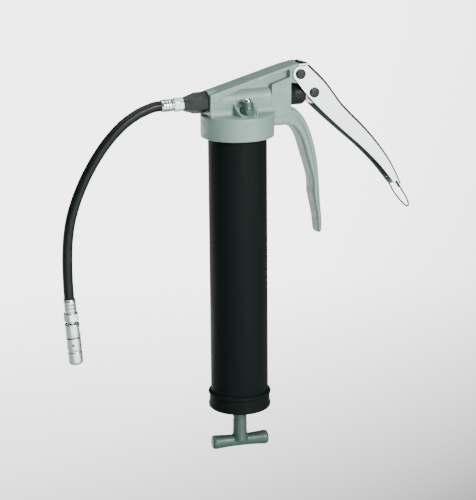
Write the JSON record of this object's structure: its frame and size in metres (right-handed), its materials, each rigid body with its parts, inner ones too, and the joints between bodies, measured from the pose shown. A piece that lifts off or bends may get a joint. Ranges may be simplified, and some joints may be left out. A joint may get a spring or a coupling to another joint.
{
  "type": "pistol-grip grease gun",
  "caption": "Hand grease gun with a cartridge barrel, cast head and grip, a channel squeeze lever, a spring follower with T handle, and a flexible hose with a grease coupler.",
  "frame": {"origin": "middle of the barrel's length, on the barrel's axis", "axes": "+Z along the barrel towards the head, +X along the pump towards the grip and the lever, hose outlet at -X, bleed valve at -Y"},
  "size_m": [0.3734, 0.0712, 0.3873],
  "materials": {
    "grey_paint": "satin powder coat over cast metal",
    "handle_paint": "darker satin coat",
    "black_paint": "satin black enamel",
    "black_oxide": "black oxide",
    "chrome": "bright plated",
    "zinc": "bright zinc plated",
    "steel": "plain steel",
    "pin_steel": "dark phosphated steel",
    "rubber": "black rubber"
  },
  "bodies": {
    "barrel": {"barrel_tube": "black_paint", "end_cap": "black_paint", "follower_spring": "steel"},
    "follower": {"follower_plate": "steel", "follower_cup": "rubber"},
    "rod": {"follower_rod": "zinc", "rod_nut": "zinc", "t_handle": "handle_paint", "t_handle_pin": "zinc"},
    "gasket": {"barrel_gasket": "rubber"},
    "head": {"head_casting": "grey_paint", "outlet_nut": "black_oxide", "check_spring": "steel", "plunger_packing": "rubber", "gland_bush": "steel", "return_spring": "steel", "plunger_boot": "rubber", "bleed_valve_body": "grey_paint", "bleed_spring": "steel", "pivot_pin": "pin_steel", "pivot_clip": "steel", "hose_ferrule_gun": "zinc", "hose": "rubber", "hose_ferrule_coupler": "zinc", "coupler_body": "chrome", "coupler_sleeve": "chrome", "coupler_spring": "steel", "coupler_seal": "rubber", "coupler_jaw_1": "steel", "coupler_jaw_2": "steel", "coupler_jaw_3": "steel"},
    "lever": {"lever": "chrome", "drive_pin": "pin_steel", "drive_clip": "steel"},
    "plunger": {"plunger": "steel"},
    "lock_ring": {"lock_ring": "chrome"},
    "bleed_poppet": {"bleed_poppet": "chrome"},
    "check_ball": {"check_ball": "steel"}
  },
  "joints": [
    {"name": "follower_slide", "type": "slide", "parent": "barrel", "child": "follower", "axis": [0, 0, -1], "range_m": [0, 0.205], "stiffness_N_per_m": 120, "springref_m": -0.1, "deforming": ["follower_spring"]},
    {"name": "handle_turn", "type": "hinge", "parent": "follower", "child": "rod", "pos_m": [0, 0, 0], "axis": [0, 0, 1], "continuous": true},
    {"name": "head_lift", "type": "slide", "parent": "barrel", "child": "gasket", "axis": [0, 0, 1], "range_m": [0, 0.0125]},
    {"name": "head_unscrew", "type": "hinge", "parent": "gasket", "child": "head", "pos_m": [0, 0, 0], "axis": [0, 0, 1], "range_deg": [0, 2160]},
    {"name": "lever_squeeze", "type": "hinge", "parent": "head", "child": "lever", "pos_m": [0.0616, 0, 0.1846], "axis": [0, 1, 0], "range_deg": [0, 28], "stiffness_Nm_per_rad": 0.4, "springref_deg": -45.84},
    {"name": "plunger_stroke", "type": "slide", "parent": "head", "child": "plunger", "axis": [-1, 0, 0], "range_m": [0, 0.0112], "deforming": ["plunger_boot", "return_spring"]},
    {"name": "lock_ring_swing", "type": "hinge", "parent": "lever", "child": "lock_ring", "pos_m": [0.1712, 0, 0.066], "axis": [0, 1, 0], "range_deg": [-5, 60]},
    {"name": "bleed_press", "type": "slide", "parent": "head", "child": "bleed_poppet", "axis": [0, 0, -1], "range_m": [0, 0.0015], "stiffness_N_per_m": 600, "springref_m": -0.002, "deforming": ["bleed_spring"]},
    {"name": "check_open", "type": "slide", "parent": "head", "child": "check_ball", "axis": [-1, 0, 0], "range_m": [0, 0.002], "stiffness_N_per_m": 300, "springref_m": -0.002, "deforming": ["check_spring"]}
  ],
  "couplings": [
    {"joint": "head_lift", "follows": "head_unscrew", "m_per_rad": 0.00031831},
    {"joint": "plunger_stroke", "follows": "lever_squeeze", "m_per_rad": 0.0218}
  ]
}
